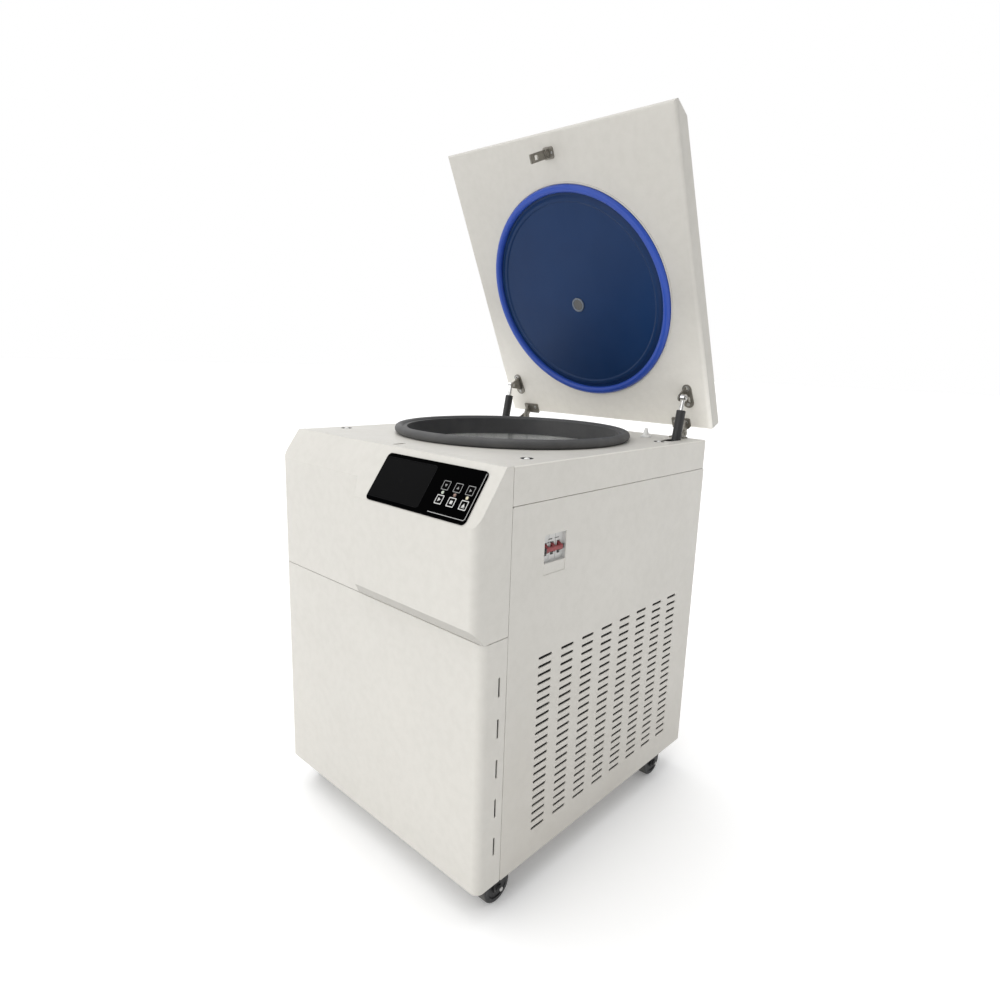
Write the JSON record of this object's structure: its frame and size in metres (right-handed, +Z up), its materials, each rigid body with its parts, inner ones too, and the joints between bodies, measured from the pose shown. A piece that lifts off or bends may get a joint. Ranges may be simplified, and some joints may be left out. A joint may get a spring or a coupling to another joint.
{
  "type": "laboratory centrifuge",
  "caption": "Floor-standing refrigerated laboratory centrifuge with a lifting lid, swing-out rotor, sloped control console and casters.",
  "frame": {"origin": "on the floor, under the middle of the overall box with the lid open", "axes": "+X to the right of someone facing the console, +Y to the back, +Z up"},
  "size_m": [0.6, 0.7673, 1.4272],
  "materials": {
    "panel_paint": "satin off-white powder coat with a fine orange peel",
    "lid_paint": "satin off-white powder coat",
    "frame_steel": "dark grey coated steel",
    "stainless": "brushed stainless steel",
    "seal_rubber": "black moulded rubber",
    "mount_rubber": "black rubber",
    "liner_blue": "bright royal blue moulded plastic",
    "liner_navy": "navy blue moulded plastic",
    "viewport_glass": "clear acrylic",
    "hinge_steel": "zinc-plated cast steel",
    "strut_black": "black satin tube, bright end fitting",
    "strut_chrome": "polished piston rod",
    "fascia_black": "gloss black panel",
    "display_dark": "dark display glass, off",
    "key_black": "gloss black key with a pale printed outline",
    "breaker_grey": "light grey moulded plastic",
    "breaker_red": "dark red toggle",
    "stop_white": "white plastic",
    "screw_steel": "plated steel",
    "caster_black": "black moulded fork",
    "caster_tyre": "black tread",
    "copper": "copper tube",
    "foam": "rigid polyurethane foam",
    "rotor_alloy": "anodised aluminium",
    "motor_grey": "grey enamel",
    "compressor_black": "black enamel",
    "fin_aluminium": "fin stock",
    "fan_plastic": "black plastic",
    "box_zinc": "zinc-plated sheet box",
    "inlet_black": "black plastic"
  },
  "bodies": {
    "cabinet": {"base_frame": "frame_steel", "left_panel": "panel_paint", "right_panel": "panel_paint", "rear_panel": "panel_paint", "top_cover": "panel_paint", "console_cover": "panel_paint", "front_panel": "panel_paint", "power_inlet": "inlet_black", "deck_screws": "screw_steel", "lid_stop": "stop_white", "control_fascia": "fascia_black", "display_window": "display_dark", "rim_seal": "seal_rubber", "chamber_bowl": "stainless", "evaporator_coil": "copper", "chamber_insulation": "foam", "motor_mounts": "mount_rubber", "drive_motor": "motor_grey", "compressor": "compressor_black", "condenser": "fin_aluminium", "fan_shroud": "box_zinc", "drive_unit": "box_zinc", "breaker_body": "breaker_grey", "lid_latch": "box_zinc", "hinge_bases": "hinge_steel"},
    "lid": {"lid_shell": "lid_paint", "lid_inner_panel": "lid_paint", "liner_rim": "liner_blue", "liner_disc": "liner_navy", "lid_viewport": "viewport_glass", "lid_striker": "hinge_steel", "hinge_leaves": "hinge_steel", "strut_brackets": "hinge_steel"},
    "rotor": {"drive_spindle": "stainless", "rotor_head": "rotor_alloy", "rotor_nut": "rotor_alloy"},
    "fan": {"fan_rotor": "fan_plastic"},
    "breaker_toggle": {"breaker_toggle": "breaker_red"},
    "strut_tube_left": {"strut_tube_left": "strut_black"},
    "strut_rod_left": {"strut_rod_left": "strut_chrome"},
    "strut_tube_right": {"strut_tube_right": "strut_black"},
    "strut_rod_right": {"strut_rod_right": "strut_chrome"},
    "bucket_1": {"bucket_1": "rotor_alloy"},
    "bucket_2": {"bucket_2": "rotor_alloy"},
    "bucket_3": {"bucket_3": "rotor_alloy"},
    "bucket_4": {"bucket_4": "rotor_alloy"},
    "key_up": {"key_up": "key_black"},
    "key_down": {"key_down": "key_black"},
    "key_next": {"key_next": "key_black"},
    "key_start": {"key_start": "key_black"},
    "key_stop": {"key_stop": "key_black"},
    "key_lid": {"key_lid": "key_black"},
    "caster_fork_front_left": {"caster_fork_front_left": "caster_black"},
    "caster_wheel_front_left": {"caster_wheel_front_left": "caster_tyre"},
    "caster_fork_rear_left": {"caster_fork_rear_left": "caster_black"},
    "caster_wheel_rear_left": {"caster_wheel_rear_left": "caster_tyre"},
    "caster_fork_front_right": {"caster_fork_front_right": "caster_black"},
    "caster_wheel_front_right": {"caster_wheel_front_right": "caster_tyre"},
    "caster_fork_rear_right": {"caster_fork_rear_right": "caster_black"},
    "caster_wheel_rear_right": {"caster_wheel_rear_right": "caster_tyre"}
  },
  "joints": [
    {"name": "lid_hinge", "type": "hinge", "parent": "cabinet", "child": "lid", "pos_m": [0, 0.33, 0.811], "axis": [1, 0, 0], "range_deg": [0, 66]},
    {"name": "strut_tube_left_swing", "type": "hinge", "parent": "lid", "child": "strut_tube_left", "pos_m": [-0.258, 0.28578, 0.89311], "axis": [1, 0, 0], "range_deg": [-58.5, 0]},
    {"name": "strut_rod_left_slide", "type": "slide", "parent": "strut_tube_left", "child": "strut_rod_left", "axis": [0, 0.1966, 0.9805], "range_m": [0, 0.0951]},
    {"name": "strut_tube_right_swing", "type": "hinge", "parent": "lid", "child": "strut_tube_right", "pos_m": [0.258, 0.28578, 0.89311], "axis": [1, 0, 0], "range_deg": [-58.5, 0]},
    {"name": "strut_rod_right_slide", "type": "slide", "parent": "strut_tube_right", "child": "strut_rod_right", "axis": [0, 0.1966, 0.9805], "range_m": [0, 0.0951]},
    {"name": "rotor_spin", "type": "hinge", "parent": "cabinet", "child": "rotor", "pos_m": [0, 0.016, 0.64], "axis": [0, 0, 1], "continuous": true},
    {"name": "bucket_1_swing", "type": "hinge", "parent": "rotor", "child": "bucket_1", "pos_m": [0.115, 0.016, 0.64], "axis": [0, -1, 0], "range_deg": [0, 90]},
    {"name": "bucket_2_swing", "type": "hinge", "parent": "rotor", "child": "bucket_2", "pos_m": [0, 0.131, 0.64], "axis": [1, 0, 0], "range_deg": [0, 90]},
    {"name": "bucket_3_swing", "type": "hinge", "parent": "rotor", "child": "bucket_3", "pos_m": [-0.115, 0.016, 0.64], "axis": [0, 1, 0], "range_deg": [0, 90]},
    {"name": "bucket_4_swing", "type": "hinge", "parent": "rotor", "child": "bucket_4", "pos_m": [0, -0.099, 0.64], "axis": [-1, 0, 0], "range_deg": [0, 90]},
    {"name": "fan_spin", "type": "hinge", "parent": "cabinet", "child": "fan", "pos_m": [0.196, 0, 0.275], "axis": [1, 0, 0], "continuous": true},
    {"name": "key_up_press", "type": "slide", "parent": "cabinet", "child": "key_up", "axis": [0, 0.8192, -0.5736], "range_m": [0, 0.0008], "stiffness_N_per_m": 800},
    {"name": "key_down_press", "type": "slide", "parent": "cabinet", "child": "key_down", "axis": [0, 0.8192, -0.5736], "range_m": [0, 0.0008], "stiffness_N_per_m": 800},
    {"name": "key_next_press", "type": "slide", "parent": "cabinet", "child": "key_next", "axis": [0, 0.8192, -0.5736], "range_m": [0, 0.0008], "stiffness_N_per_m": 800},
    {"name": "key_start_press", "type": "slide", "parent": "cabinet", "child": "key_start", "axis": [0, 0.8192, -0.5736], "range_m": [0, 0.0008], "stiffness_N_per_m": 800},
    {"name": "key_stop_press", "type": "slide", "parent": "cabinet", "child": "key_stop", "axis": [0, 0.8192, -0.5736], "range_m": [0, 0.0008], "stiffness_N_per_m": 800},
    {"name": "key_lid_press", "type": "slide", "parent": "cabinet", "child": "key_lid", "axis": [0, 0.8192, -0.5736], "range_m": [0, 0.0008], "stiffness_N_per_m": 800},
    {"name": "breaker_switch", "type": "hinge", "parent": "cabinet", "child": "breaker_toggle", "pos_m": [0.288, -0.1945, 0.65], "axis": [0, 1, 0], "range_deg": [-25, 0]},
    {"name": "caster_swivel_front_left", "type": "hinge", "parent": "cabinet", "child": "caster_fork_front_left", "pos_m": [-0.265, -0.265, 0.08], "axis": [0, 0, 1], "continuous": true},
    {"name": "caster_roll_front_left", "type": "hinge", "parent": "caster_fork_front_left", "child": "caster_wheel_front_left", "pos_m": [-0.265, -0.289, 0.032], "axis": [1, 0, 0], "continuous": true},
    {"name": "caster_swivel_rear_left", "type": "hinge", "parent": "cabinet", "child": "caster_fork_rear_left", "pos_m": [-0.265, 0.269, 0.08], "axis": [0, 0, 1], "continuous": true},
    {"name": "caster_roll_rear_left", "type": "hinge", "parent": "caster_fork_rear_left", "child": "caster_wheel_rear_left", "pos_m": [-0.265, 0.245, 0.032], "axis": [1, 0, 0], "continuous": true},
    {"name": "caster_swivel_front_right", "type": "hinge", "parent": "cabinet", "child": "caster_fork_front_right", "pos_m": [0.265, -0.265, 0.08], "axis": [0, 0, 1], "continuous": true},
    {"name": "caster_roll_front_right", "type": "hinge", "parent": "caster_fork_front_right", "child": "caster_wheel_front_right", "pos_m": [0.265, -0.289, 0.032], "axis": [1, 0, 0], "continuous": true},
    {"name": "caster_swivel_rear_right", "type": "hinge", "parent": "cabinet", "child": "caster_fork_rear_right", "pos_m": [0.265, 0.269, 0.08], "axis": [0, 0, 1], "continuous": true},
    {"name": "caster_roll_rear_right", "type": "hinge", "parent": "caster_fork_rear_right", "child": "caster_wheel_rear_right", "pos_m": [0.265, 0.245, 0.032], "axis": [1, 0, 0], "continuous": true}
  ],
  "couplings": [
    {"joint": "strut_tube_left_swing", "follows": "lid_hinge", "ratio": -0.88501},
    {"joint": "strut_rod_left_slide", "follows": "lid_hinge", "m_per_rad": 0.08243},
    {"joint": "strut_tube_right_swing", "follows": "lid_hinge", "ratio": -0.88501},
    {"joint": "strut_rod_right_slide", "follows": "lid_hinge", "m_per_rad": 0.08243}
  ]
}
